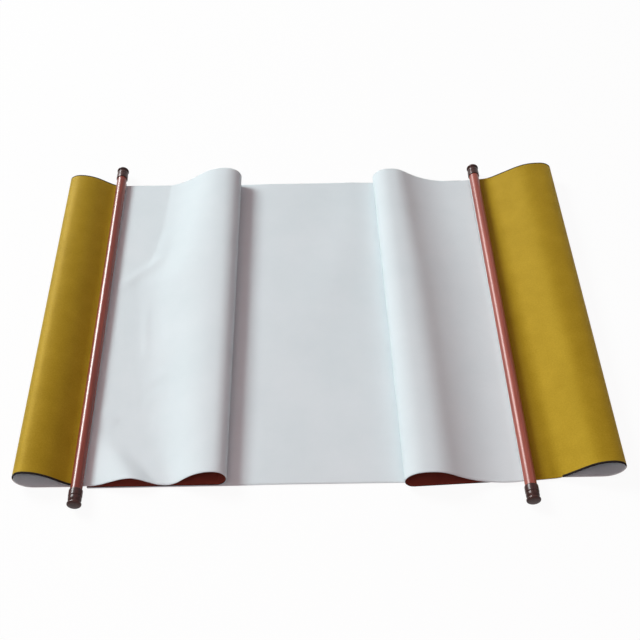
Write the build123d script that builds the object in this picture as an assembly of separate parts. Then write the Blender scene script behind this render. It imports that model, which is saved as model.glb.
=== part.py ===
from build123d import *
import math
import os

# Sheet goods: the writing cloth, the cover cloth on its back, glue and the air between layers
cloth_width = 430.0
cloth_thick = 0.8
cover_thick = 0.4
glue_film = 0.05
layer_gap = 0.2

# Rods and the turned caps on their ends
rod_spacing = 424.6
rod_dia = 11.4
rod_overhang = 5.5
left_rod_slide = -0.9
right_rod_slide = -8.0
cap_collar_dia = 13.2
cap_ring_dia = 12.6
cap_neck_dia = 10.8
cap_disc_dia = 13.8
cap_collar_len = 7.4
cap_ring_len = 4.8
cap_neck_len = 1.6
cap_disc_len = 2.8
cap_socket = 9.0
cap_clear = 1.0
socket_play = 0.05
socket_end_play = 0.3

# Cloth end glued round the underside of each rod, and where the cover cloth stops below
wrap_angle = 50.0
cover_stop = 4.0

# Yellow rolls outside the rods: reach from the rod's axis, height, and where the top layer lands
left_roll_reach = 60.0
left_roll_high_front = 24.2
left_roll_high_back = 20.0
left_roll_land = 6.0
right_roll_reach = 91.4
right_roll_high_front = 24.2
right_roll_high_back = 26.2
right_roll_land_front = 27.5
right_roll_land_back = 9.0

# White folds between the rods: nose from the rod's axis, height, and run from the nose to the landing
left_fold_nose_front = 140.1
left_fold_nose_back = 144.6
left_fold_high_front = 23.8
left_fold_high_back = 28.8
left_fold_run_front = 58.3
left_fold_run_back = 82.0
right_fold_nose_front = 118.0
right_fold_nose_back = 122.5
right_fold_high_front = 25.6
right_fold_high_back = 23.8
right_fold_run_front = 80.0
right_fold_run_back = 74.0

# Height of each nose's tip, as a share of the height of its roll or fold
roll_tip = 0.62
left_fold_tip = 0.48
right_fold_tip = 0.38

# Wave in the left top layer, at the front edge only
wave_high = 15.4
wave_from_rod = 12.5
wave_lead = 31.0
wave_depth = 68.0
wave_rest = 0.3

# Folds hidden under the layers beside the rods, and the length of the step down to the lower layer
left_tuck = 7.8
right_tuck = 19.0
left_step = 7.2
right_step = 11.0
step_clear = 1.2

# How far the cut edges lie behind the panel's front edge, or past its back edge
front_left_roll = 3.6
front_left_fold = 1.4
front_right_nose = -5.6
front_right_rod = -3.2
front_right_roll = 1.0
back_left_roll = 1.0
back_left_fold = -1.5
back_right_nose = -2.6
back_right_rod = -3.0
nose_jog = 3.0

# A slope of this share of the mean makes each rise of cloth
steepness = 1.45

# Levels of the layers, each at the middle of the cloth
level_floor = cloth_thick / 2
level_middle = level_floor + cloth_thick + layer_gap
level_top = level_middle + cloth_thick + layer_gap
level_roll = cover_thick + glue_film + cloth_thick / 2
level_end = level_roll + cloth_thick + layer_gap
cover_inner = cloth_thick / 2 + glue_film
cover_outer = cover_inner + cover_thick
rod_radius = rod_dia / 2
rod_bare = cloth_width + 2 * rod_overhang
wrap_radius = rod_radius + glue_film + cover_outer
rod_height = level_end + wrap_radius
left_rod_x = -rod_spacing / 2
right_rod_x = rod_spacing / 2
y_front = -cloth_width / 2
y_back = cloth_width / 2


# A walk along the middle of the cloth in one upright section, seen from the front
class Walk:
    def __init__(self, x, z, heading):
        self.x = x
        self.z = z
        self.heading = heading
        self.runs = []

    def state(self):
        return (self.x, self.z, self.heading)

    def ahead(self, length):
        start = self.state()
        self.x += length * math.cos(self.heading)
        self.z += length * math.sin(self.heading)
        self.runs.append((False, start, start, self.state()))

    def bend(self, turn, radius, angle):
        start = self.state()
        half = self.bent(start, turn, radius, angle / 2)
        self.x, self.z, self.heading = self.bent(start, turn, radius, angle)
        self.runs.append((True, start, half, self.state()))

    def bent(self, start, turn, radius, angle):
        x, z, h = start
        cx = x - turn * radius * math.sin(h)
        cz = z + turn * radius * math.cos(h)
        g = h + turn * angle
        return (cx + turn * radius * math.sin(g), cz - turn * radius * math.cos(g), g)

    # level run to a place along X
    def run_to(self, x):
        self.ahead(abs(x - self.x))

    # two equal bends with a straight slope between them, level at both ends
    def rise_to(self, x, z):
        dx = abs(x - self.x)
        dz = z - self.z
        slope = math.atan(steepness * abs(dz) / dx)
        radius = (dx * math.sin(slope) - abs(dz) * math.cos(slope)) / (2 - 2 * math.cos(slope))
        straight = (abs(dz) - 2 * radius * (1 - math.cos(slope))) / math.sin(slope)
        turn = math.copysign(1, dz) * math.copysign(1, math.cos(self.heading))
        self.bend(turn, radius, slope)
        self.ahead(straight)
        self.bend(-turn, radius, slope)

    # half turn to another level, in two quarters that meet at a share of the way
    def turn_to(self, turn, z, share=0.5):
        height = abs(z - self.z)
        self.bend(turn, height * share, math.pi / 2)
        self.bend(turn, height * (1 - share), math.pi / 2)


# Whole course of the cloth at one place across its width, from the left rod to the right rod
def course(y):
    def along(front, back):
        return front + (back - front) * (y - y_front) / (y_back - y_front)

    half = cloth_thick / 2
    wrap = math.radians(wrap_angle)
    left_roll_top = along(left_roll_high_front, left_roll_high_back) - cover_outer
    right_roll_top = along(right_roll_high_front, right_roll_high_back) - cover_outer
    left_fold_top = along(left_fold_high_front, left_fold_high_back) - half
    right_fold_top = along(right_fold_high_front, right_fold_high_back) - half
    left_nose = left_rod_x + along(left_fold_nose_front, left_fold_nose_back)
    right_nose = right_rod_x - along(right_fold_nose_front, right_fold_nose_back)
    left_land = left_nose - along(left_fold_run_front, left_fold_run_back)
    right_land = right_nose + along(right_fold_run_front, right_fold_run_back)
    roll_land = right_rod_x + along(right_roll_land_front, right_roll_land_back)
    wave_share = max(0.0, 1 - (y - y_front) / wave_depth)
    wave_top = level_top + wave_rest + (wave_high - half - level_top - wave_rest) * wave_share
    tuck_radius = (level_middle - level_floor) / 2

    # left roll: off the rod, up, over, and back under it
    start_x = left_rod_x + wrap_radius * math.sin(wrap)
    start_z = rod_height - wrap_radius * math.cos(wrap)
    walk = Walk(start_x, start_z, math.pi + wrap)
    walk.bend(-1, wrap_radius, wrap)
    walk.run_to(left_rod_x - left_roll_land)
    left_turn = (left_roll_top - level_roll) * (1 - roll_tip)
    walk.rise_to(left_rod_x - left_roll_reach + cover_outer + left_turn, left_roll_top)
    walk.turn_to(1, level_roll, 1 - roll_tip)
    walk.run_to(left_rod_x - cover_stop)
    left_cover_runs = len(walk.runs)

    # left white fold, with the wave before it
    tuck_x = left_rod_x + left_tuck
    walk.run_to(tuck_x - step_clear - left_step)
    walk.rise_to(tuck_x - step_clear, level_top)
    walk.run_to(left_rod_x + wave_from_rod)
    walk.rise_to(left_land - wave_lead, wave_top)
    walk.rise_to(left_land, level_top)
    fold_turn = (left_fold_top - level_middle) * (1 - left_fold_tip)
    walk.rise_to(left_nose - half - fold_turn, left_fold_top)
    walk.turn_to(-1, level_middle, 1 - left_fold_tip)
    walk.run_to(tuck_x + half + tuck_radius)
    walk.turn_to(1, level_floor)

    # flat panel and the right white fold
    tuck_x = right_rod_x - right_tuck
    walk.run_to(tuck_x - half - tuck_radius)
    walk.turn_to(1, level_middle)
    fold_turn = (right_fold_top - level_middle) * right_fold_tip
    walk.run_to(right_nose + half + fold_turn)
    walk.turn_to(-1, right_fold_top, right_fold_tip)
    walk.rise_to(right_land, level_top)
    walk.run_to(tuck_x + step_clear)
    walk.rise_to(tuck_x + step_clear + right_step, level_roll)
    walk.run_to(right_rod_x + cover_stop)
    right_cover_runs = len(walk.runs)

    # right roll: under the rod, out, over, and back to it
    right_turn = (right_roll_top - level_roll) * roll_tip
    walk.run_to(right_rod_x + right_roll_reach - cover_outer - right_turn)
    walk.turn_to(1, right_roll_top, roll_tip)
    walk.rise_to(roll_land, level_end)
    walk.run_to(right_rod_x)
    walk.bend(-1, wrap_radius, wrap)
    return walk.runs, left_cover_runs, right_cover_runs


# Point of a walk moved to one side of the cloth, at a place across its width
def beside(state, offset, y):
    x, z, h = state
    return Vector(x - offset * math.sin(h), y, z + offset * math.cos(h))


# Closed edge of a strip of sheet between two offsets from the walk
def strip_edges(runs, upper, lower, y):
    sides = []
    for offset in (upper, lower):
        edges = []
        for curved, start, half, end in runs:
            p = beside(start, offset, y)
            r = beside(end, offset, y)
            if curved:
                edges.append(Edge.make_three_point_arc(p, beside(half, offset, y), r))
            else:
                edges.append(Edge.make_line(p, r))
        sides.append(edges)
    first = Edge.make_line(beside(runs[0][1], lower, y), beside(runs[0][1], upper, y))
    last = Edge.make_line(beside(runs[-1][3], upper, y), beside(runs[-1][3], lower, y))
    return [first] + sides[0] + [last] + sides[1]


# Sheet ruled from section to section across the width, with its cut edges trimmed in plan;
# a run that keeps its shape from one section to the next is drawn straight across
def sheet(sections, upper, lower, outline):
    loops = [strip_edges(runs, upper, lower, y) for runs, y in sections]
    faces = [Face(Wire(loops[0])), Face(Wire(loops[-1]))]
    for near, far in zip(loops, loops[1:]):
        for edge, other in zip(near, far):
            moves = [other.position_at(t) - edge.position_at(t) for t in (0, 0.5, 1)]
            if max((m - moves[0]).length for m in moves) < 1e-9:
                faces.append(Face.extrude(edge, moves[0]))
            else:
                faces.append(Face.make_surface_from_curves(edge, other))
    body = Solid(Shell(faces))
    return (body & outline).solid()


# Turned cap on the far end of a rod, its axis along +Y from the shoulder
def cap():
    bore = rod_radius + socket_play
    depth = cap_socket + socket_end_play
    collar = cap_collar_dia / 2
    ring = cap_ring_dia / 2
    neck = cap_neck_dia / 2
    disc = cap_disc_dia / 2
    neck_start = cap_collar_len + cap_ring_len
    disc_start = neck_start + cap_neck_len
    disc_end = disc_start + cap_disc_len
    profile = [
        (bore, 0),
        (collar, 0),
        (collar, cap_collar_len),
        (ring, cap_collar_len),
        (ring, neck_start),
        (neck, neck_start),
        (neck, disc_start),
        (disc, disc_start),
        (disc, disc_end),
        (0, disc_end),
        (0, depth),
        (bore, depth),
    ]
    return revolve(Face(Wire.make_polygon(profile, close=True)), axis=Axis.Y).solid()


# Rod along Y, from the bottom of one cap's socket to the other
def rod():
    length = rod_bare + 2 * cap_socket
    return Rot(90, 0, 0) * Cylinder(rod_radius, length)


# Outline of the cut edges seen from above, drawn round the folded cloth
def cut_outline():
    left_end = left_rod_x - left_roll_reach - cloth_width / 10
    right_end = right_rod_x + right_roll_reach + cloth_width / 10
    left_nose = left_rod_x + left_fold_nose_front
    right_nose = right_rod_x - right_fold_nose_front
    right_back_nose = right_rod_x - right_fold_nose_back
    front = [
        (left_end, y_front + front_left_roll),
        (left_rod_x, y_front + front_left_roll),
        (left_rod_x + left_fold_nose_front / 2, y_front + front_left_fold),
        (left_nose + nose_jog, y_front),
        (right_nose - nose_jog, y_front),
        (right_nose, y_front + front_right_nose),
        (right_rod_x, y_front + front_right_rod),
        (right_rod_x + right_roll_reach / 2, y_front + front_right_roll),
        (right_end, y_front + front_right_roll),
    ]
    back = [
        (right_end, y_back),
        (right_rod_x + right_roll_land_back, y_back),
        (right_rod_x + cap_collar_dia / 2 + cap_clear, y_back + back_right_rod),
        (right_rod_x, y_back + back_right_rod),
        (right_back_nose, y_back + back_right_nose),
        (right_back_nose - nose_jog, y_back),
        (left_rod_x + left_fold_nose_back * 2 / 3, y_back),
        (left_rod_x + left_fold_nose_back / 3, y_back + back_left_fold),
        (left_rod_x - left_roll_reach / 3, y_back + back_left_roll),
        (left_end, y_back + back_left_roll),
    ]
    tall = 2 * max(left_fold_high_back, right_fold_high_front, right_roll_high_back, rod_dia)
    plan = Face(Wire.make_polygon(front + back, close=True))
    return extrude(Pos(0, 0, -tall / 2) * plan, amount=2 * tall)


# Sections of the sheet: past the front edge, where the wave has died away, and past the back edge
spare = 10.0
places = [y_front - spare, y_front + wave_depth, y_back + spare]
courses = [course(y) for y in places]
outline = cut_outline()
half = cloth_thick / 2

writing_cloth = sheet([(c[0], y) for c, y in zip(courses, places)], half, -half, outline)
left_cover = sheet(
    [(c[0][: c[1]], y) for c, y in zip(courses, places)], -cover_inner, -cover_outer, outline
)
right_cover = sheet(
    [(c[0][c[2] :], y) for c, y in zip(courses, places)], -cover_inner, -cover_outer, outline
)

left_rod = Pos(left_rod_x, left_rod_slide, rod_height) * rod()
right_rod = Pos(right_rod_x, right_rod_slide, rod_height) * rod()
left_shoulder = Pos(left_rod_x, left_rod_slide, rod_height)
right_shoulder = Pos(right_rod_x, right_rod_slide, rod_height)
to_back = Pos(0, rod_bare / 2, 0)
to_front = Rot(0, 0, 180) * to_back

nodes = {
    "writing_cloth": writing_cloth,
    "left_cover": left_cover,
    "right_cover": right_cover,
    "left_rod": left_rod,
    "right_rod": right_rod,
    "left_front_cap": left_shoulder * to_front * cap(),
    "left_back_cap": left_shoulder * to_back * cap(),
    "right_front_cap": right_shoulder * to_front * cap(),
    "right_back_cap": right_shoulder * to_back * cap(),
}

os.makedirs("parts", exist_ok=True)
for name, shape in nodes.items():
    export_step(shape, f"parts/{name}.step")
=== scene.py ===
import math

import bpy
import numpy as np
from mathutils import Euler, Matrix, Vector


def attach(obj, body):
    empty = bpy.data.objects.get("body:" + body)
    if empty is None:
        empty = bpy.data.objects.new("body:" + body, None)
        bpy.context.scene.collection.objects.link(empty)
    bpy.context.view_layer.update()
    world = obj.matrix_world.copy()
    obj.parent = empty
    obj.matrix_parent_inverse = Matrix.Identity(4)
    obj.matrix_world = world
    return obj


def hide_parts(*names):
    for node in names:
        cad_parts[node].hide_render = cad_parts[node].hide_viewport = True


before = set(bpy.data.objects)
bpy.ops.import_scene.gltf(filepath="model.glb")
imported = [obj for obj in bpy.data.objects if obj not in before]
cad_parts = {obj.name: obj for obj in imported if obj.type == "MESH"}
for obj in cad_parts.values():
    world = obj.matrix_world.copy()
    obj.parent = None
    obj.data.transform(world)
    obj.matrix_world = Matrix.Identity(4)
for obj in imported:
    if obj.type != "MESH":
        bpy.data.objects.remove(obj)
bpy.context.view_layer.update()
scene = bpy.context.scene
millimetre = 0.001
print("frame loaded:", sorted(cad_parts))


def smooth(t):
    t = np.clip(t, 0.0, 1.0)
    return t * t * (3 - 2 * t)


def newPiece(name, mesh, node, materials):
    piece = bpy.data.objects.new(name, mesh)
    scene.collection.objects.link(piece)
    for material in materials:
        mesh.materials.append(material)
    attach(piece, "root")
    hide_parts(node)
    return piece


def blankMaterial(name):
    material = bpy.data.materials.new(name)
    material.use_nodes = True
    tree = material.node_tree
    shader = tree.nodes["Principled BSDF"]
    return material, tree, shader


def addNode(tree, kind, **sockets):
    node = tree.nodes.new(kind)
    for name, value in sockets.items():
        node.inputs[name].default_value = value
    return node


def colourRamp(tree, stops):
    ramp = tree.nodes.new("ShaderNodeValToRGB")
    elements = ramp.color_ramp.elements
    while len(elements) < len(stops):
        elements.new(0.5)
    for element, (place, colour) in zip(elements, stops):
        element.position = place
        element.color = (*colour, 1.0)
    return ramp


def threads(tree, pitch):
    # plain weave height from the cloth's own coordinates, in metres;
    # at a scale of 1 the bands of the wave texture repeat every pi / 10
    place = tree.nodes.new("ShaderNodeUVMap")
    place.uv_map = "clothPlace"
    warp = addNode(tree, "ShaderNodeTexWave", Scale=math.pi / 10 / pitch, Distortion=0.6)
    warp.bands_direction = "X"
    weft = addNode(tree, "ShaderNodeTexWave", Scale=math.pi / 10 / pitch, Distortion=0.6)
    weft.bands_direction = "Y"
    weave = tree.nodes.new("ShaderNodeMath")
    weave.operation = "MULTIPLY"
    for wave, socket in ((warp, 0), (weft, 1)):
        wave.inputs["Detail Scale"].default_value = 2.0
        tree.links.new(place.outputs["UV"], wave.inputs["Vector"])
        tree.links.new(wave.outputs["Fac"], weave.inputs[socket])
    return place, weave


deepEnd, paleEnd = 0.3, 0.7  # noise levels at which a cloth shows its deep and its pale colour


def clothMaterial(name, s):
    material, tree, shader = blankMaterial(name)
    place, weave = threads(tree, s["threadPitch"])
    mottle = addNode(tree, "ShaderNodeTexNoise", Scale=s["mottleScale"], Detail=4.0, Roughness=0.6)
    grain = addNode(tree, "ShaderNodeTexNoise", Scale=s["grainScale"], Detail=3.0, Roughness=0.7)
    tree.links.new(place.outputs["UV"], mottle.inputs["Vector"])
    tree.links.new(place.outputs["UV"], grain.inputs["Vector"])
    mixed = addNode(tree, "ShaderNodeMix", Factor=s["grainShare"])
    tree.links.new(mottle.outputs["Fac"], mixed.inputs["A"])
    tree.links.new(grain.outputs["Fac"], mixed.inputs["B"])
    ramp = colourRamp(tree, [(deepEnd, s["deep"]), (paleEnd, s["pale"])])
    tree.links.new(mixed.outputs["Result"], ramp.inputs["Fac"])
    gap = tree.nodes.new("ShaderNodeMix")
    gap.data_type = "RGBA"
    gap.blend_type = "MULTIPLY"
    gap.inputs["Factor"].default_value = s["weaveShade"]
    tree.links.new(ramp.outputs["Color"], gap.inputs["A"])
    tree.links.new(weave.outputs["Value"], gap.inputs["B"])
    tree.links.new(gap.outputs["Result"], shader.inputs["Base Color"])
    height = tree.nodes.new("ShaderNodeMath")
    height.operation = "MULTIPLY_ADD"
    height.inputs[1].default_value = s["fuzz"]
    tree.links.new(grain.outputs["Fac"], height.inputs[0])
    tree.links.new(weave.outputs["Value"], height.inputs[2])
    bump = addNode(tree, "ShaderNodeBump", Strength=s["bump"], Distance=s["bumpDepth"])
    tree.links.new(height.outputs["Value"], bump.inputs["Height"])
    tree.links.new(bump.outputs["Normal"], shader.inputs["Normal"])
    shader.inputs["Roughness"].default_value = s["rough"]
    shader.inputs["Metallic"].default_value = s["satin"]
    shader.inputs["Specular IOR Level"].default_value = s["specular"]
    shader.inputs["Specular Tint"].default_value = (*s["specularTint"], 1.0)
    shader.inputs["Sheen Weight"].default_value = s["sheen"]
    shader.inputs["Sheen Roughness"].default_value = s["sheenRough"]
    shader.inputs["Sheen Tint"].default_value = (*s["sheenTint"], 1.0)
    return material


whiteFace = clothMaterial("whiteFace", {
    "deep": (0.672, 0.758, 0.783), "pale": (0.728, 0.802, 0.827),
    "threadPitch": 0.0006, "mottleScale": 14.0, "grainScale": 900.0, "grainShare": 0.25,
    "weaveShade": 0.06, "fuzz": 0.5, "bump": 0.25, "bumpDepth": 0.0002,
    "rough": 0.78, "satin": 0.0, "specular": 0.12, "specularTint": (1.0, 1.0, 1.0),
    "sheen": 0.05, "sheenRough": 0.5, "sheenTint": (1.0, 1.0, 1.0),
})
redBack = clothMaterial("redBack", {
    "deep": (0.290, 0.062, 0.042), "pale": (0.400, 0.092, 0.064),
    "threadPitch": 0.0007, "mottleScale": 30.0, "grainScale": 900.0, "grainShare": 0.4,
    "weaveShade": 0.3, "fuzz": 0.5, "bump": 0.3, "bumpDepth": 0.0003,
    "rough": 0.8, "satin": 0.0, "specular": 0.12, "specularTint": (1.0, 0.8, 0.7),
    "sheen": 0.05, "sheenRough": 0.5, "sheenTint": (1.0, 0.6, 0.5),
})
yellowCover = clothMaterial("yellowCover", {
    "deep": (0.310, 0.192, 0.0095), "pale": (0.452, 0.293, 0.0235),
    "threadPitch": 0.0008, "mottleScale": 40.0, "grainScale": 600.0, "grainShare": 0.6,
    "weaveShade": 0.15, "fuzz": 0.6, "bump": 0.35, "bumpDepth": 0.0003,
    "rough": 0.45, "satin": 0.045, "specular": 0.08, "specularTint": (1.0, 0.85, 0.03),
    "sheen": 0.7, "sheenRough": 0.35, "sheenTint": (1.0, 0.85, 0.10),
})
# near-black cloth: the dark core seen at the cut edges, and painted shade on the rims and cover margins
# along the openings of the rolls
coreAndPaintedShade = clothMaterial("coreAndPaintedShade", {
    "deep": (0.010, 0.008, 0.008), "pale": (0.030, 0.024, 0.022),
    "threadPitch": 0.0005, "mottleScale": 60.0, "grainScale": 1200.0, "grainShare": 0.5,
    "weaveShade": 0.2, "fuzz": 0.5, "bump": 0.2, "bumpDepth": 0.0002,
    "rough": 0.9, "satin": 0.0, "specular": 0.1, "specularTint": (1.0, 1.0, 1.0),
    "sheen": 0.0, "sheenRough": 0.5, "sheenTint": (1.0, 1.0, 1.0),
})


def woodMaterial(name, s):
    material, tree, shader = blankMaterial(name)
    place = tree.nodes.new("ShaderNodeTexCoord")
    stretch = addNode(tree, "ShaderNodeMapping", Scale=s["stretch"], Location=s["offset"])
    tree.links.new(place.outputs["Object"], stretch.inputs["Vector"])
    figure = addNode(tree, "ShaderNodeTexNoise", Scale=1.0, Detail=6.0, Roughness=0.62, Distortion=0.5)
    tree.links.new(stretch.outputs["Vector"], figure.inputs["Vector"])
    ramp = colourRamp(tree, s["stops"])
    tree.links.new(figure.outputs["Fac"], ramp.inputs["Fac"])
    tree.links.new(ramp.outputs["Color"], shader.inputs["Base Color"])
    roughness = addNode(tree, "ShaderNodeMapRange")
    roughness.inputs["To Min"].default_value = s["rough"][0]
    roughness.inputs["To Max"].default_value = s["rough"][1]
    tree.links.new(figure.outputs["Fac"], roughness.inputs["Value"])
    tree.links.new(roughness.outputs["Result"], shader.inputs["Roughness"])
    bump = addNode(tree, "ShaderNodeBump", Strength=s["bump"], Distance=s["bumpDepth"])
    tree.links.new(figure.outputs["Fac"], bump.inputs["Height"])
    tree.links.new(bump.outputs["Normal"], shader.inputs["Normal"])
    shader.inputs["Specular IOR Level"].default_value = s["specular"]
    shader.inputs["Coat Weight"].default_value = s["coat"]
    shader.inputs["Coat Roughness"].default_value = s["coatRough"]
    shader.inputs["Coat IOR"].default_value = s["coatBend"]
    return material


leftRodWood = woodMaterial("leftRodWood", {
    "stretch": (420.0, 9.0, 420.0), "offset": (0.0, 0.0, 0.0),
    "stops": [(0.25, (0.110, 0.013, 0.006)), (0.5, (0.190, 0.026, 0.013)), (0.78, (0.290, 0.050, 0.028))],
    "rough": (0.35, 0.5), "bump": 0.05, "bumpDepth": 0.0002, "specular": 0.05,
    "coat": 1.0, "coatRough": 0.24, "coatBend": 1.36,
})
# the same wood as the left rod, coloured lighter and pinker
rightRodWood = woodMaterial("rightRodWood", {
    "stretch": (420.0, 9.0, 420.0), "offset": (3.0, 7.0, 1.0),
    "stops": [(0.25, (0.185, 0.030, 0.016)), (0.5, (0.310, 0.070, 0.046)), (0.78, (0.450, 0.130, 0.095))],
    "rough": (0.35, 0.5), "bump": 0.05, "bumpDepth": 0.0002, "specular": 0.05,
    "coat": 0.9, "coatRough": 0.36, "coatBend": 1.36,
})
capWood = woodMaterial("capWood", {
    "stretch": (300.0, 60.0, 300.0), "offset": (1.0, 2.0, 5.0),
    "stops": [(0.25, (0.018, 0.005, 0.004)), (0.55, (0.045, 0.012, 0.009)), (0.8, (0.085, 0.026, 0.020))],
    "rough": (0.32, 0.5), "bump": 0.1, "bumpDepth": 0.0002, "specular": 0.05,
    "coat": 0.6, "coatRough": 0.26, "coatBend": 1.36,
})
print("materials made:", len(bpy.data.materials))


# how the cloth's rises begin and end, by share of their run
riseShape = {"steps": 400, "creaseRun": 0.06, "leastFall": 0.02}
shares = np.linspace(0.0, 1.0, riseShape["steps"] + 1)


def easing(start, fall, plateau=0.0, crease=0.0):
    # slope of a rise by share of its run: swells up to start, stays for plateau, then dies away,
    # with a share of the slope there from the first as at a crease
    up = crease * smooth(shares / riseShape["creaseRun"]) + (1 - crease) * smooth(shares / start)
    rest = np.clip((1 - shares) / max(1 - start - plateau, riseShape["leastFall"]), 0.0, 1.0)
    slope = up * rest ** fall
    gone = np.concatenate([[0.0], np.cumsum((slope[1:] + slope[:-1]) / 2)])
    return slope / gone[-1] * riseShape["steps"], gone / gone[-1]


# the folded cloth is a walk along its middle at each place across the width, in millimetres
clothCourse = {
    "width": 430.0, "thick": 0.8, "coverThick": 0.4, "glueFilm": 0.05, "layerGap": 0.2,
    "rodSpacing": 424.6, "rodDia": 11.4, "wrapAngle": 50.0, "coverStop": 4.0,
    # reach from the rod's axis, height and landing at front and back, height of the nose's tip as a share,
    # and how much longer than high the nose's quarters above and below the tip are
    "leftRoll": {
        "reach": 60.0, "high": (24.2, 20.0), "land": (1.0, 1.0),
        "tip": 0.62, "above": (1.1, 1.6), "below": 1.25,
    },
    "rightRoll": {
        "reach": 91.4, "high": (24.2, 26.2), "land": (24.0, 7.0),
        "tip": 0.64, "above": (1.6, 1.5), "below": 1.3,
    },
    # nose from the rod's axis and height at front and back, the hidden tuck, and the way down to the rod
    "leftFold": {
        "nose": (140.1, 144.6), "high": (23.8, 28.8), "tip": 0.48, "above": (1.15, 1.3), "below": 1.0,
        "tuck": 7.8, "step": 7.2,
    },
    "rightFold": {
        "nose": (118.0, 122.5), "high": (25.6, 23.8), "tip": 0.38, "above": (1.42, 1.36), "below": 1.0,
        "tuck": 14.0, "brink": 5.6, "brinkLift": 0.7, "foot": 0.5,
    },
    # landing lines of the white folds, as places across the width and distances from the rod
    "leftLand": (
        (-215, -190, -150, -62, 50, 100, 140, 215),
        (80.0, 70.0, 52.0, 40.0, 30.0, 46.0, 52.5, 57.5),
    ),
    "rightLand": ((-215, -40, 60, 140, 215), (15.0, 13.0, 14.0, 24.0, 30.0)),
    # where a rise swells up, by place across the width, and how its slope dies away
    "leftFoldStart": ((-215, -150, -62, 50, 120, 215), (0.40, 0.60, 0.60, 0.50, 0.48, 0.55)),
    "leftFoldCrease": ((-215, 0, 60, 120, 215), (0.0, 0.05, 0.20, 0.35, 0.35)),
    "rightFoldStart": ((-215, 215), (0.34, 0.29)),
    "leftFoldFall": 1.0, "rightFoldFall": 1.2,
    "stepClear": 1.2,
}
c = clothCourse
halfThick = c["thick"] / 2
coverInner = halfThick + c["glueFilm"]
coverOuter = coverInner + c["coverThick"]
levelFloor = halfThick
levelMiddle = levelFloor + c["thick"] + c["layerGap"]
levelTop = levelMiddle + c["thick"] + c["layerGap"]
levelRoll = c["coverThick"] + c["glueFilm"] + halfThick
levelEnd = levelRoll + c["thick"] + c["layerGap"]
wrapRadius = c["rodDia"] / 2 + c["glueFilm"] + coverOuter
rodHeight = levelEnd + wrapRadius
leftRodX = -c["rodSpacing"] / 2
rightRodX = c["rodSpacing"] / 2
halfWidth = c["width"] / 2


class ClothWalk:
    def __init__(self, x, z, heading):
        self.x, self.z, self.heading = x, z, heading
        self.runs = []
        self.marks = {}

    def mark(self, name):
        self.marks[name] = len(self.runs)

    def ahead(self, length):
        x, z, h = self.x, self.z, self.heading

        def at(t):
            return x + length * t * math.cos(h), z + length * t * math.sin(h), h

        self.runs.append(("straight", length, at))
        self.x, self.z, self.heading = at(1.0)

    def bend(self, turn, radius, angle, stretch=1.0):
        # a circle's arc, or an ellipse's that is longer along X by stretch
        x, z, h = self.x, self.z, self.heading

        def at(t):
            g = h + turn * angle * t
            px = x + stretch * turn * radius * (math.sin(g) - math.sin(h))
            pz = z + turn * radius * (math.cos(h) - math.cos(g))
            lean = math.atan2(math.sin(g), stretch * math.cos(g))
            return px, pz, lean + 2 * math.pi * round((g - lean) / (2 * math.pi))

        self.runs.append(("bent", radius * angle * (1 + stretch) / 2, at))
        self.x, self.z, self.heading = at(1.0)

    def runTo(self, x):
        self.ahead(abs(x - self.x))

    def riseTo(self, x, z, ease):
        x0, z0, h = self.x, self.z, self.heading
        dx, dz = x - x0, z - z0
        slope, gone = ease

        def at(t):
            steep = np.interp(t, shares, slope) * dz / dx
            return x0 + dx * t, z0 + dz * np.interp(t, shares, gone), h + math.atan(steep)

        self.runs.append(("bent", math.hypot(dx, dz), at))
        self.x, self.z = x, z

    def turn(self, way, first, second):
        # half turn in two quarters, each a height and a stretch
        for radius, stretch in (first, second):
            self.bend(way, radius, math.pi / 2, stretch)


rollEase = easing(0.30, 1.0, 0.15)
stepEase = easing(0.5, 1.0)
slideEase = easing(0.5, 1.0, 0.25)
brinkEase = easing(1.0, 0.0)
diveEase = easing(0.03, 1.0)


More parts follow.
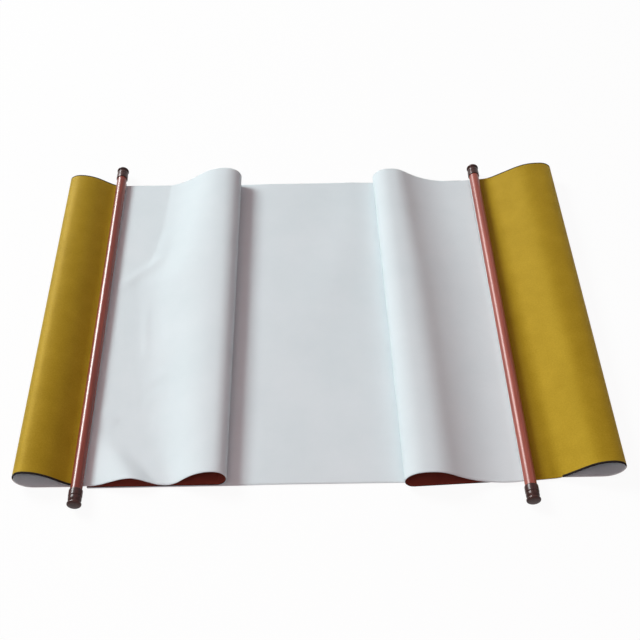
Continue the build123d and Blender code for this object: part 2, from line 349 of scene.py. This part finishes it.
def walkAt(y):
    share = (y + halfWidth) / c["width"]

    def along(pair):
        return pair[0] + (pair[1] - pair[0]) * share

    def nose(fold, top, bottom):
        # height and stretch of the quarters above and below the tip
        height = top - bottom
        return (height * (1 - fold["tip"]), along(fold["above"])), (height * fold["tip"], fold["below"])

    wrap = math.radians(c["wrapAngle"])
    leftRoll, rightRoll = c["leftRoll"], c["rightRoll"]
    leftFold, rightFold = c["leftFold"], c["rightFold"]
    leftRollTop = along(leftRoll["high"]) - coverOuter
    rightRollTop = along(rightRoll["high"]) - coverOuter
    leftFoldTop = along(leftFold["high"]) - halfThick
    rightFoldTop = along(rightFold["high"]) - halfThick
    leftNose = leftRodX + along(leftFold["nose"])
    rightNose = rightRodX - along(rightFold["nose"])
    leftLand = leftRodX + np.interp(y, *c["leftLand"])
    rightLand = rightRodX - np.interp(y, *c["rightLand"])
    tuckRadius = (levelMiddle - levelFloor) / 2

    startX = leftRodX + wrapRadius * math.sin(wrap)
    startZ = rodHeight - wrapRadius * math.cos(wrap)
    walk = ClothWalk(startX, startZ, math.pi + wrap)
    walk.mark("leftRodEnd")
    walk.bend(-1, wrapRadius, wrap)
    walk.runTo(leftRodX - along(leftRoll["land"]))
    above, below = nose(leftRoll, leftRollTop, levelRoll)
    walk.riseTo(leftRodX - leftRoll["reach"] + coverOuter + above[0] * above[1], leftRollTop, rollEase)
    walk.mark("leftRollNose")
    walk.turn(1, above, below)
    walk.runTo(leftRodX - c["coverStop"])
    walk.mark("leftCoverStop")
    tuckX = leftRodX + leftFold["tuck"]
    walk.runTo(tuckX - c["stepClear"] - leftFold["step"])
    walk.riseTo(tuckX - c["stepClear"], levelTop, stepEase)
    walk.mark("leftTop")
    walk.runTo(leftLand)
    walk.mark("leftLand")
    above, below = nose(leftFold, leftFoldTop, levelMiddle)
    foldStart = np.interp(y, *c["leftFoldStart"])
    foldCrease = np.interp(y, *c["leftFoldCrease"])
    foldEase = easing(foldStart, c["leftFoldFall"], crease=foldCrease)
    walk.riseTo(leftNose - halfThick - above[0] * above[1], leftFoldTop, foldEase)
    walk.mark("leftNose")
    walk.turn(-1, above, below)
    walk.mark("leftUnder")
    walk.runTo(tuckX + halfThick + tuckRadius)
    walk.mark("leftTuck")
    walk.turn(1, (tuckRadius, 1.0), (tuckRadius, 1.0))
    walk.mark("panel")
    tuckX = rightRodX - rightFold["tuck"]
    walk.runTo(tuckX - halfThick - tuckRadius)
    walk.mark("rightTuck")
    walk.turn(1, (tuckRadius, 1.0), (tuckRadius, 1.0))
    walk.mark("rightUnder")
    above, below = nose(rightFold, rightFoldTop, levelMiddle)
    walk.runTo(rightNose + halfThick + below[0] * below[1])
    walk.mark("rightNose")
    walk.turn(-1, below, above)
    walk.mark("rightTop")
    foldStart = np.interp(y, *c["rightFoldStart"])
    walk.riseTo(rightLand, levelTop, easing(foldStart, c["rightFoldFall"]))
    walk.mark("rightLand")
    walk.riseTo(rightRodX - rightFold["brink"], levelTop + rightFold["brinkLift"], brinkEase)
    walk.mark("rightBrink")
    walk.riseTo(rightRodX - rightFold["foot"], levelRoll, diveEase)
    walk.runTo(rightRodX + c["coverStop"])
    walk.mark("rightCoverStop")
    above, below = nose(rightRoll, rightRollTop, levelRoll)
    walk.runTo(rightRodX + rightRoll["reach"] - coverOuter - below[0] * below[1])
    walk.mark("rightRollNose")
    walk.turn(1, below, above)
    walk.mark("rightRollTop")
    walk.riseTo(rightRodX + along(rightRoll["land"]), levelEnd, slideEase)
    walk.mark("rightRollLand")
    walk.runTo(rightRodX)
    walk.bend(-1, wrapRadius, wrap)
    walk.mark("rightRodEnd")
    return walk


# rows of the grid across the width, closer together at the front where the wave is
# the margin rows bound the edge strips, which on the covers carry painted shade along the roll openings
clothRows = {"count": 104, "frontShare": 0.30, "frontDepth": 90.0, "margin": 1.4}
frontCount = int(clothRows["count"] * clothRows["frontShare"])
rowPlaces = np.concatenate([
    np.linspace(-halfWidth, -halfWidth + clothRows["frontDepth"], frontCount, endpoint=False),
    np.linspace(-halfWidth + clothRows["frontDepth"], halfWidth, clothRows["count"] - frontCount),
    [-halfWidth + clothRows["margin"], halfWidth - clothRows["margin"]],
])
rowPlaces.sort()
walks = [walkAt(y) for y in rowPlaces]
marks = walks[0].marks
runCount = len(walks[0].runs)

# points along each run, the same in every row
pathStep = {"straight": 5.0, "bent": 2.4, "least": 5}
runPoints = []
for k in range(runCount):
    kind = walks[0].runs[k][0]
    longest = max(walk.runs[k][1] for walk in walks)
    runPoints.append(max(pathStep["least"] if kind == "bent" else 1, math.ceil(longest / pathStep[kind])))


def rowPoints(walk):
    found = []
    for (kind, length, at), n in zip(walk.runs, runPoints):
        found += [at(i / n) for i in range(n)]
    found.append((walk.x, walk.z, walk.heading))
    xs, zs, hs = np.array(found).T
    steps = np.hypot(np.diff(xs), np.diff(zs))
    return xs, zs, hs, np.concatenate([[0.0], np.cumsum(steps)])


grids = np.array([rowPoints(walk) for walk in walks])
gridX, gridZ, gridH, gridS = grids[:, 0], grids[:, 1], grids[:, 2], grids[:, 3]
firstPoint = {name: sum(runPoints[:k]) for name, k in marks.items()}
pathCount = gridX.shape[1]
print("cloth grid:", gridX.shape, "length", round(gridS[:, -1].min(), 1), round(gridS[:, -1].max(), 1))

# how far the cut edges lie behind the front line or past the back line, by place along the cloth
cutEdges = (
    ("leftRodEnd", 3.6, 1.0),
    ("leftRollNose", 4.4, 1.0),
    ("leftCoverStop", 3.4, 0.6),
    ("leftTop", 2.8, -0.6),
    ("leftLand", 1.9, -1.5),
    ("leftNose", 1.5, -1.2),
    ("leftUnder", 1.4, -1.0),
    ("leftTuck", 2.0, -0.4),
    ("panel", 1.6, 0.0),
    ("rightTuck", -1.0, -1.2),
    ("rightUnder", -2.2, -1.6),
    ("rightNose", -5.7, -2.4),
    ("rightTop", -5.7, -2.5),
    ("rightLand", -4.2, -2.8),
    ("rightBrink", -3.6, -3.0),
    ("rightCoverStop", 1.6, -2.0),
    ("rightRollNose", 1.2, 0.2),
    ("rightRollTop", 1.2, 0.2),
    ("rightRollLand", -1.0, -0.6),
    ("rightRodEnd", -3.6, -3.0),
)
edgePlaces = [firstPoint[name] for name, front, back in cutEdges]
stations = np.arange(pathCount)
meanS = gridS.mean(axis=0)
frontOff = np.interp(meanS, meanS[edgePlaces], [front for name, front, back in cutEdges])
backOff = np.interp(meanS, meanS[edgePlaces], [back for name, front, back in cutEdges])
rowShare = (rowPlaces + halfWidth) / c["width"]
gridY = (-halfWidth + frontOff)[None, :] + rowShare[:, None] * (c["width"] + backOff - frontOff)[None, :]

# the wave at the front of the left top layer
frontWave = {
    "high": 12.6, "depth": 62.0, "fade": 1.5,
    "start": (10.0, 8.5), "crest": (50.8, 17.0), "end": (81.0, 30.0),  # from the rod, at the edge and behind
}


def waveLift(x, y):
    w = frontWave
    back = np.clip((y + halfWidth) / w["depth"], 0.0, 1.0)
    start = leftRodX + w["start"][0] + (w["start"][1] - w["start"][0]) * back
    crest = leftRodX + w["crest"][0] + (w["crest"][1] - w["crest"][0]) * back
    end = leftRodX + w["end"][0] + (w["end"][1] - w["end"][0]) * back
    high = w["high"] * (1 - back) ** w["fade"]
    up = smooth((x - start) / (crest - start))
    down = smooth((end - x) / (end - crest))
    return high * np.where(x < crest, up, down)


creases = (  # from, to, height, width, all in the left part of the white face
    ((-195.0, 48.0), (-156.0, 85.0), 0.95, 7.0),
    ((-158.0, 84.0), (-150.0, 128.0), 0.5, 7.0),
    ((-166.0, 4.0), (-162.0, -48.0), 0.55, 4.0),
    ((-141.0, 46.0), (-136.0, -60.0), 0.5, 9.0),
    ((-163.0, -52.0), (-143.0, -62.0), 0.5, 5.0),
    ((-158.0, -92.0), (-139.0, -82.0), 0.5, 5.0),
    ((-156.0, -114.0), (-138.0, -104.0), 0.45, 5.0),
    ((-201.0, -124.0), (-185.0, -138.0), 0.8, 4.5),
)
creaseFade = {"past": 0.25, "run": 0.4}  # shares of a crease's length


def creaseLift(x, y):
    lift = np.zeros_like(x)
    for (x0, y0), (x1, y1), high, wide in creases:
        length = math.hypot(x1 - x0, y1 - y0)
        ux, uy = (x1 - x0) / length, (y1 - y0) / length
        alongIt = ((x - x0) * ux + (y - y0) * uy) / length
        across = (x - x0) * -uy + (y - y0) * ux
        past, run = creaseFade["past"], creaseFade["run"]
        fade = smooth((alongIt + past) / run) * smooth((1 + past - alongIt) / run)
        lift += high * fade * np.exp(-((across / wide) ** 2))
    return lift


# slow unevenness of a cloth that was rolled up before: turns along X and Y, and a shift
softWaves = {
    "high": 0.25, "most": 3.0,
    "waves": ((0.031, 0.017, 0.6), (0.013, -0.029, 2.1), (0.052, 0.011, 4.0), (0.0, 0.023, 1.3)),
}


def softLift(x, y):
    first, second, third, fade = (
        np.sin(x * turnX + y * turnY + shift) for turnX, turnY, shift in softWaves["waves"]
    )
    return softWaves["high"] * (first + second + third * fade + softWaves["most"]) / softWaves["most"]


topLayer = slice(firstPoint["leftTop"], firstPoint["leftNose"] + 1)
panelLayer = slice(firstPoint["panel"], firstPoint["rightTuck"] + 1)


# where the unevenness sets in and ends, from the rods, and the runs over which it does
unevenSpan = {"leftTop": ((9.0, 8.0), (128.0, 20.0)), "panel": ((150.0, 30.0), (128.0, 30.0))}
panelRidge = {
    "high": 0.9, "through": (48.0, 100.0), "lean": 0.28, "wide": 24.0,
    "start": -60.0, "run": 120.0, "soft": 1.6,
}


def leftTopLift(x, y):
    (near, nearRun), (far, farRun) = unevenSpan["leftTop"]
    inside = smooth((x - leftRodX - near) / nearRun) * smooth((leftRodX + far - x) / farRun)
    return waveLift(x, y) + inside * (creaseLift(x, y) + softLift(x, y))


def panelLift(x, y):
    (near, nearRun), (far, farRun) = unevenSpan["panel"]
    inside = smooth((x - leftRodX - near) / nearRun) * smooth((rightRodX - far - x) / farRun)
    p = panelRidge
    across = (x - p["through"][0]) - p["lean"] * (y - p["through"][1])
    ridge = p["high"] * np.exp(-((across / p["wide"]) ** 2)) * smooth((y - p["start"]) / p["run"])
    return inside * (p["soft"] * softLift(x, y) + ridge)


probe = 0.5  # half the step over which a lift's slope is taken
for layer, lift in ((topLayer, leftTopLift), (panelLayer, panelLift)):
    x, y = gridX[:, layer], gridY[:, layer]
    tilt = (lift(x + probe, y) - lift(x - probe, y)) / (2 * probe)
    gridZ[:, layer] += lift(x, y)
    gridH[:, layer] = np.arctan(np.tan(gridH[:, layer]) + tilt)
print("cloth lifted, highest point", round(gridZ.max(), 1))


# a closed thin sheet between two offsets from the walk, with a bevelled cut edge
cutEdge = {"bevelShare": 0.7, "coreShare": 0.35, "sharpAngle": 50.0}


def sheetMesh(name, columns, upper, lower, rimKinds, marginShadeKinds=1):
    x, y, z, h, s = (g[:, columns] for g in (gridX, gridY, gridZ, gridH, gridS))
    rows, cols = x.shape
    sides = []
    middle = lower + (upper - lower) * cutEdge["coreShare"]
    for offset in (upper, lower, middle):
        sides.append(np.stack([x - offset * np.sin(h), y, z + offset * np.cos(h)], axis=-1))
    bevel = (upper - lower) * cutEdge["bevelShare"]
    sides[2][0, :, 1] -= bevel
    sides[2][-1, :, 1] += bevel
    top, under, core = (side.reshape(-1, 3) * millimetre for side in sides)
    flat = (np.stack([s, y], axis=-1) * millimetre).reshape(-1, 2)
    count = rows * cols
    grid = np.arange(count).reshape(rows, cols)
    rim = np.concatenate([grid[0, :-1], grid[:-1, -1], grid[-1, :0:-1], grid[:0:-1, 0]])
    points = np.concatenate([top, under, core[rim]])
    places = np.concatenate([flat, flat, flat[rim]])
    a, b = grid[:-1, :-1].ravel(), grid[:-1, 1:].ravel()
    d, e = grid[1:, :-1].ravel(), grid[1:, 1:].ravel()
    faces = [np.stack([a, b, e, d], axis=1), np.stack([a, d, e, b], axis=1) + count]
    back = np.ones((rows - 1, cols - 1), int)
    # the edge rows of the lower face take the margin kinds, which on the covers put painted shade along the
    # roll openings
    back[[0, -1]] = marginShadeKinds
    kinds = [np.zeros(len(a), int), back.ravel()]
    coreRim = 2 * count + np.arange(len(rim))
    for first, second, kind in ((rim, coreRim, rimKinds[0]), (coreRim, rim + count, rimKinds[1])):
        faces.append(np.stack([first, second, np.roll(second, -1), np.roll(first, -1)], axis=1))
        kinds.append(np.broadcast_to(kind, cols)[rim % cols])
    faces, kinds = np.concatenate(faces), np.concatenate(kinds)
    mesh = bpy.data.meshes.new(name)
    mesh.from_pydata(points.tolist(), [], faces.tolist())
    layer = mesh.uv_layers.new(name="clothPlace")
    loopPoints = np.empty(len(mesh.loops), int)
    mesh.loops.foreach_get("vertex_index", loopPoints)
    layer.data.foreach_set("uv", places[loopPoints].ravel())
    mesh.polygons.foreach_set("material_index", kinds)
    mesh.polygons.foreach_set("use_smooth", np.ones(len(kinds), bool))
    mesh.set_sharp_from_angle(angle=math.radians(cutEdge["sharpAngle"]))
    mesh.validate()
    mesh.update()
    return mesh


# the cut edges take painted shade along the upper layers of the rolls, where the inside of a roll's opening
# lies in shade: black over the whole edge, and a black strip on the cover's outer face beside its front and
# back edges; elsewhere they are white on the writing face, and dark on the back part of the edge, the
# cloth's dark core
lowEnd = 5  # points before the right roll's landing
leftTip, rightTip = (sum(runPoints[:marks[name] + 1]) for name in ("leftRollNose", "rightRollNose"))
rightUpper = (stations > rightTip) & (stations < firstPoint["rightRollLand"] - lowEnd)
rollEdgeShade = (stations < leftTip) | rightUpper
onRoll = (stations < firstPoint["leftCoverStop"]) | (stations > firstPoint["rightCoverStop"])
faceRimAndShade = np.where(rollEdgeShade, 2, 0)
backRimAndShade = np.where(onRoll & ~rollEdgeShade, 0, 2)
backRimAndShade[panelLayer] = 0
coverEdgeAndShade = np.where(rollEdgeShade, 2, 1)
for rim, kind in ((faceRimAndShade, 0), (backRimAndShade, 0), (coverEdgeAndShade, 1)):
    rim[[0, -1]] = kind
writingCloth = newPiece(
    "writingCloth", sheetMesh("writingCloth", slice(None), halfThick, -halfThick, (faceRimAndShade, backRimAndShade)),
    "writing_cloth", [whiteFace, redBack, coreAndPaintedShade],
)


def coverPiece(name, node, span):
    # edge holds the cover's cut-edge kinds, black as painted shade along the rolls' upper layers
    edge = coverEdgeAndShade[span]
    mesh = sheetMesh(name, span, -coverInner, -coverOuter, (edge, edge), edge[:-1])
    return newPiece(name, mesh, node, [yellowCover, yellowCover, coreAndPaintedShade])


leftCover = coverPiece("leftCover", "left_cover", slice(0, firstPoint["leftCoverStop"] + 1))
rightCover = coverPiece("rightCover", "right_cover", slice(firstPoint["rightCoverStop"], None))
print("cloth and covers made:", [len(p.data.polygons) for p in (writingCloth, leftCover, rightCover)])


turnedSharpAngle = 38.0


def turnedMesh(name, profile, centre, direction, around):
    # profile is (distance along the axis, radius) in millimetres
    angles = np.arange(around) * 2 * math.pi / around
    rings = []
    for length, radius in profile:
        ring = np.stack([
            centre[0] + radius * np.cos(angles),
            np.full(around, centre[1] + direction * length),
            centre[2] + radius * np.sin(angles),
        ], axis=-1)
        rings.append(ring * millimetre)
    points = np.concatenate(rings).tolist()
    faces = []
    for r in range(len(profile) - 1):
        for i in range(around):
            j = (i + 1) % around
            quad = [r * around + i, r * around + j, (r + 1) * around + j, (r + 1) * around + i]
            faces.append(quad[::-1] if direction < 0 else quad)
    for r, turned in ((0, direction > 0), (len(profile) - 1, direction < 0)):
        cap = [r * around + i for i in range(around)]
        faces.append(cap[::-1] if not turned else cap)
    mesh = bpy.data.meshes.new(name)
    mesh.from_pydata(points, [], faces)
    mesh.polygons.foreach_set("use_smooth", np.ones(len(faces), bool))
    mesh.set_sharp_from_angle(angle=math.radians(turnedSharpAngle))
    mesh.validate()
    mesh.update()
    return mesh


rodShape = {
    "overhang": 5.5, "socket": 9.0, "around": 64, "rings": 40, "bevel": 0.4,
    "leftSlide": -0.9, "rightSlide": -8.0,
}
bare = c["width"] / 2 + rodShape["overhang"]
rodHalf = bare + rodShape["socket"]
rodRadius = c["rodDia"] / 2
rodProfile = [(-rodHalf, rodRadius - rodShape["bevel"]), (-rodHalf + rodShape["bevel"], rodRadius)]
rodProfile += [(length, rodRadius) for length in np.linspace(-bare, bare, rodShape["rings"])]
rodProfile += [(rodHalf - rodShape["bevel"], rodRadius), (rodHalf, rodRadius - rodShape["bevel"])]
rodSides = (
    ("left", leftRodX, rodShape["leftSlide"], leftRodWood),
    ("right", rightRodX, rodShape["rightSlide"], rightRodWood),
)
for side, x, slide, wood in rodSides:
    name = side + "Rod"
    rodMesh = turnedMesh(name, rodProfile, (x, slide, rodHeight), 1, rodShape["around"])
    newPiece(name, rodMesh, side + "_rod", [wood])

capShape = {  # distance from the shoulder and radius of the turned outline
    "around": 64,
    "outline": (
        (9.3, 5.75), (0.0, 5.75), (0.0, 6.2), (0.12, 6.42), (0.45, 6.58), (1.0, 6.6), (3.0, 6.6),
        (6.4, 6.6), (6.9, 6.55), (7.25, 6.32), (7.4, 6.05), (7.55, 6.2), (7.9, 6.36), (8.6, 6.42),
        (9.8, 6.42), (10.8, 6.34), (11.5, 6.12), (12.0, 5.75), (12.4, 5.5), (12.8, 5.4), (13.2, 5.5),
        (13.5, 5.85), (13.7, 6.35), (14.0, 6.72), (14.4, 6.88), (14.9, 6.9), (15.3, 6.84), (15.7, 6.6),
        (16.0, 6.2), (16.25, 5.4), (16.45, 4.0), (16.57, 2.0), (16.6, 0.6),
    ),
}
for side, x, slide, wood in rodSides:
    for end, direction in (("Front", -1), ("Back", 1)):
        name = side + end + "Cap"
        node = side + "_" + end.lower() + "_cap"
        centre = (x, slide + direction * bare, rodHeight)
        capMesh = turnedMesh(name, capShape["outline"], centre, direction, capShape["around"])
        newPiece(name, capMesh, node, [capWood])
print("rods and caps made")

floorShape = {"side": 12.0, "low": -0.0004, "colour": (0.86, 0.86, 0.86, 1.0), "white": 0.94}
far, low = floorShape["side"] / 2, floorShape["low"]
floorMesh = bpy.data.meshes.new("floor")
floorCorners = [(-far, -far, low), (far, -far, low), (far, far, low), (-far, far, low)]
floorMesh.from_pydata(floorCorners, [], [(0, 1, 2, 3)])
floor = bpy.data.objects.new("floor", floorMesh)
scene.collection.objects.link(floor)


def seenDirectly(tree):
    path = tree.nodes.new("ShaderNodeLightPath")
    total = None
    for name in ("Is Camera Ray", "Is Glossy Ray", "Is Transmission Ray"):
        if total is None:
            total = path.outputs[name]
            continue
        join = tree.nodes.new("ShaderNodeMath")
        join.operation = "MAXIMUM"
        tree.links.new(total, join.inputs[0])
        tree.links.new(path.outputs[name], join.inputs[1])
        total = join.outputs["Value"]
    return total


floorMaterial = bpy.data.materials.new("paleFloor")
floorMaterial.use_nodes = True
tree = floorMaterial.node_tree
tree.nodes.clear()
paint = addNode(tree, "ShaderNodeBsdfDiffuse", Color=floorShape["colour"])
glow = addNode(tree, "ShaderNodeEmission", Color=(1.0, 1.0, 1.0, 1.0), Strength=1.0)
share = tree.nodes.new("ShaderNodeMath")
share.operation = "MULTIPLY"
share.inputs[1].default_value = floorShape["white"]
tree.links.new(seenDirectly(tree), share.inputs[0])
both = tree.nodes.new("ShaderNodeMixShader")
tree.links.new(share.outputs["Value"], both.inputs["Fac"])
tree.links.new(paint.outputs["BSDF"], both.inputs[1])
tree.links.new(glow.outputs["Emission"], both.inputs[2])
output = tree.nodes.new("ShaderNodeOutputMaterial")
tree.links.new(both.outputs["Shader"], output.inputs["Surface"])
floorMesh.materials.append(floorMaterial)

studioLight = {
    "fill": 0.16, "fillColour": (1.0, 0.71, 0.725, 1.0),
    "lamps": {
        "key": {
            "place": (-2.75, 1.71, 2.62), "size": (1.5, 1.5), "power": 166.0, "colour": (0.905, 1.0, 1.0),
        },
        "gloss": {
            "place": (-2.35, 2.59, 1.96), "size": (1.5, 1.5), "power": 200.0, "colour": (1.0, 1.0, 1.0),
        },
        "above": {
            "place": (0.0, -0.3, 2.5), "size": (3.0, 3.0), "power": 14.0, "colour": (1.0, 0.71, 0.725),
        },
        "front": {
            "place": (-0.15, -0.68, 0.78), "size": (0.6, 0.10), "power": 1.1, "colour": (1.0, 0.80, 0.80),
        },
    },
}
world = bpy.data.worlds.new("studio")
scene.world = world
world.use_nodes = True
tree = world.node_tree
sky = tree.nodes["Background"]
level = tree.nodes.new("ShaderNodeMix")
level.inputs["A"].default_value = studioLight["fill"]
level.inputs["B"].default_value = 1.0
direct = seenDirectly(tree)
tree.links.new(direct, level.inputs["Factor"])
tree.links.new(level.outputs["Result"], sky.inputs["Strength"])
tint = tree.nodes.new("ShaderNodeMix")
tint.data_type = "RGBA"
tint.inputs["A"].default_value = studioLight["fillColour"]
tint.inputs["B"].default_value = (1.0, 1.0, 1.0, 1.0)
tree.links.new(direct, tint.inputs["Factor"])
tree.links.new(tint.outputs["Result"], sky.inputs["Color"])
for name, s in studioLight["lamps"].items():
    lamp = bpy.data.lights.new(name, "AREA")
    lamp.shape = "RECTANGLE"
    lamp.size, lamp.size_y = s["size"]
    lamp.energy = s["power"]
    lamp.color = s["colour"]
    lampObject = bpy.data.objects.new(name, lamp)
    lampObject.location = s["place"]
    lampObject.rotation_euler = (-Vector(s["place"])).to_track_quat("-Z", "Y").to_euler()
    lampObject.visible_diffuse = name != "gloss"  # this lamp only shows in the lacquer and the satin
    lampObject.visible_glossy = name != "above"  # and this one only as soft light
    scene.collection.objects.link(lampObject)

photoCamera = {
    "lens": 60.19, "sensor": 36.0, "place": (0.0037055, -0.773874, 0.856714),
    "pitch": 48.1574, "yaw": 1.2718, "roll": 0.2789,
}
camera = bpy.data.cameras.new("camera")
camera.lens = photoCamera["lens"]
camera.sensor_width = photoCamera["sensor"]
cameraObject = bpy.data.objects.new("camera", camera)
pitch, yaw, roll = (math.radians(photoCamera[angle]) for angle in ("pitch", "yaw", "roll"))
turnDown = Euler((math.pi / 2 - pitch, 0.0, -yaw)).to_matrix()
turnRound = Euler((0.0, 0.0, -roll)).to_matrix()
cameraObject.rotation_euler = (turnDown @ turnRound).to_euler()
cameraObject.location = photoCamera["place"]
scene.collection.objects.link(cameraObject)
scene.camera = cameraObject
scene.view_settings.view_transform = "Standard"
print("stage set")

bpy.context.view_layer.update()
